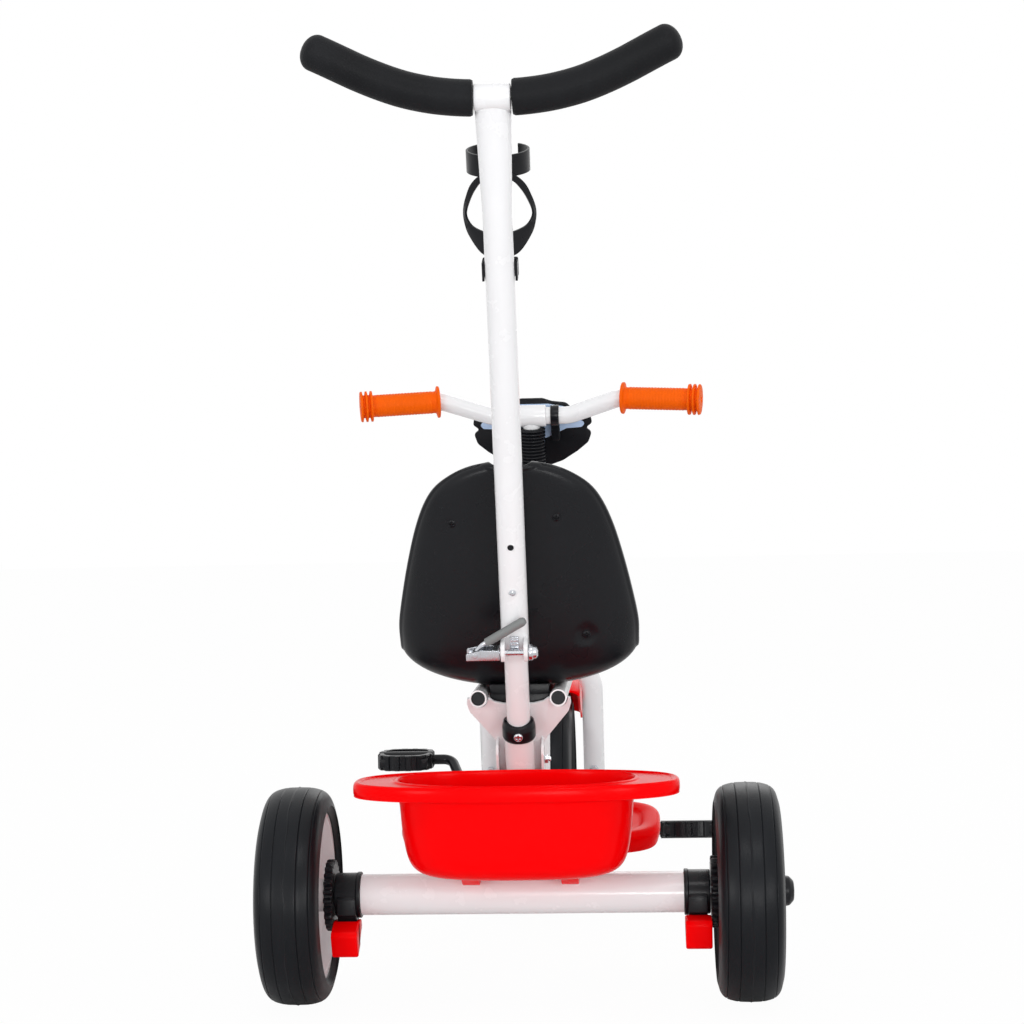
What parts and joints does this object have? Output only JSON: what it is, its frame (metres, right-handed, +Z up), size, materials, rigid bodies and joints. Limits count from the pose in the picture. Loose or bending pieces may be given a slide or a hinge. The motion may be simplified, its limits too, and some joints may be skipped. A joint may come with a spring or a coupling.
{
  "type": "tricycle",
  "caption": "Child's pedal tricycle with a white tube frame, front-wheel pedals, a bucket seat, a rear basket and a telescoping push handle.",
  "frame": {"origin": "centre of the tricycle's bounding box in plan, on the floor that the three wheels stand on", "axes": "+X to the rider's right, +Y forward, +Z up"},
  "size_m": [0.508, 0.8712, 0.8625],
  "materials": {
    "white_paint": "gloss white powder coat on steel tube",
    "white_plastic": "white moulded plastic",
    "black_plastic": "satin black moulded plastic",
    "tyre_black": "satin black foam tyre with shallow circumferential grooves",
    "black_foam": "black foam tube grip",
    "red_plastic": "glossy red moulded plastic",
    "orange_rubber": "satin orange grip",
    "grey_rubber": "grey dipped sleeve",
    "black_steel": "black-coated steel, satin, on the crank and the seat screws",
    "zinc_steel": "bright zinc-plated steel",
    "pale_blue": "pale blue plastic layer"
  },
  "bodies": {
    "frame": {"rear_axle_tube": "white_paint", "main_tube": "white_paint", "head_tube": "white_paint", "frame_gusset": "white_paint", "handle_socket": "white_paint", "frame_bolt": "zinc_steel", "seat_rail_left": "white_paint", "seat_rail_right": "white_paint", "seat_cross_strip": "white_paint", "rear_axle": "zinc_steel", "rear_collar_left": "black_plastic", "rear_collar_right": "black_plastic", "axle_cap_left": "black_plastic", "axle_cap_right": "black_plastic", "seat_shell": "black_plastic", "seat_screw_left": "black_steel", "seat_screw_right": "black_steel", "seat_screw_low": "black_steel", "footrest": "red_plastic", "basket": "red_plastic", "push_bar_lower": "white_paint", "socket_collar": "black_plastic", "collar_screw": "zinc_steel"},
    "steering": {"fork": "white_paint", "axle_bracket_left": "black_plastic", "axle_bracket_right": "black_plastic", "bracket_bolt_left": "zinc_steel", "bracket_bolt_right": "zinc_steel", "front_fender": "red_plastic", "bellows": "black_plastic", "handlebar": "white_paint", "handlebar_grip_left": "orange_rubber", "handlebar_grip_right": "orange_rubber", "front_plate": "black_plastic", "plate_trim": "pale_blue", "bar_clip": "black_plastic"},
    "front_wheel": {"front_tyre": "tyre_black", "front_rim": "white_plastic", "crank_axle": "black_steel"},
    "left_pedal": {"pedal_left": "black_plastic"},
    "right_pedal": {"pedal_right": "black_plastic"},
    "left_rear_wheel": {"rear_tyre_left": "tyre_black", "rear_rim_left": "white_plastic", "wheel_flange_left": "black_plastic"},
    "right_rear_wheel": {"rear_tyre_right": "tyre_black", "rear_rim_right": "white_plastic", "wheel_flange_right": "black_plastic"},
    "left_brake": {"brake_pedal_left": "red_plastic"},
    "right_brake": {"brake_pedal_right": "red_plastic"},
    "push_handle": {"push_bar_upper": "white_paint", "handle_cross_tube": "white_paint", "foam_grip_left": "black_foam", "foam_grip_right": "black_foam", "bottle_cage": "black_plastic", "clamp_bolt": "zinc_steel", "cam_channel": "zinc_steel"},
    "clamp_lever": {"cam_lever": "zinc_steel", "lever_sleeve": "grey_rubber"},
    "height_button": {"spring_button": "zinc_steel"}
  },
  "joints": [
    {"name": "steering_turn", "type": "hinge", "parent": "frame", "child": "steering", "pos_m": [0, 0.23408, 0.37742], "axis": [0, -0.2924, 0.9563], "range_deg": [-45, 45]},
    {"name": "front_wheel_spin", "type": "hinge", "parent": "steering", "child": "front_wheel", "pos_m": [0, 0.31156, 0.124], "axis": [1, 0, 0], "continuous": true},
    {"name": "left_pedal_spin", "type": "hinge", "parent": "front_wheel", "child": "left_pedal", "pos_m": [-0.1665, 0.37156, 0.158], "axis": [1, 0, 0], "continuous": true},
    {"name": "right_pedal_spin", "type": "hinge", "parent": "front_wheel", "child": "right_pedal", "pos_m": [0.1665, 0.25156, 0.09], "axis": [1, 0, 0], "continuous": true},
    {"name": "left_rear_wheel_spin", "type": "hinge", "parent": "frame", "child": "left_rear_wheel", "pos_m": [-0.2105, -0.18844, 0.101], "axis": [1, 0, 0], "continuous": true},
    {"name": "right_rear_wheel_spin", "type": "hinge", "parent": "frame", "child": "right_rear_wheel", "pos_m": [0.2105, -0.18844, 0.101], "axis": [1, 0, 0], "continuous": true},
    {"name": "left_brake_press", "type": "hinge", "parent": "frame", "child": "left_brake", "pos_m": [-0.165, -0.19744, 0.074], "axis": [1, 0, 0], "range_deg": [-13, 7]},
    {"name": "right_brake_press", "type": "hinge", "parent": "frame", "child": "right_brake", "pos_m": [0.165, -0.19744, 0.074], "axis": [1, 0, 0], "range_deg": [0, 20]},
    {"name": "push_handle_slide", "type": "slide", "parent": "frame", "child": "push_handle", "axis": [0, -0.36, 0.933], "range_m": [-0.0445, 0], "deforming": ["spring_button"]},
    {"name": "clamp_lever_turn", "type": "hinge", "parent": "push_handle", "child": "clamp_lever", "pos_m": [-0.036, -0.24159, 0.33132], "axis": [0, -0.933, -0.36], "range_deg": [0, 120]},
    {"name": "height_button_press", "type": "slide", "parent": "frame", "child": "height_button", "axis": [0, -0.933, -0.36], "range_m": [-0.004, 0], "stiffness_N_per_m": 400}
  ]
}
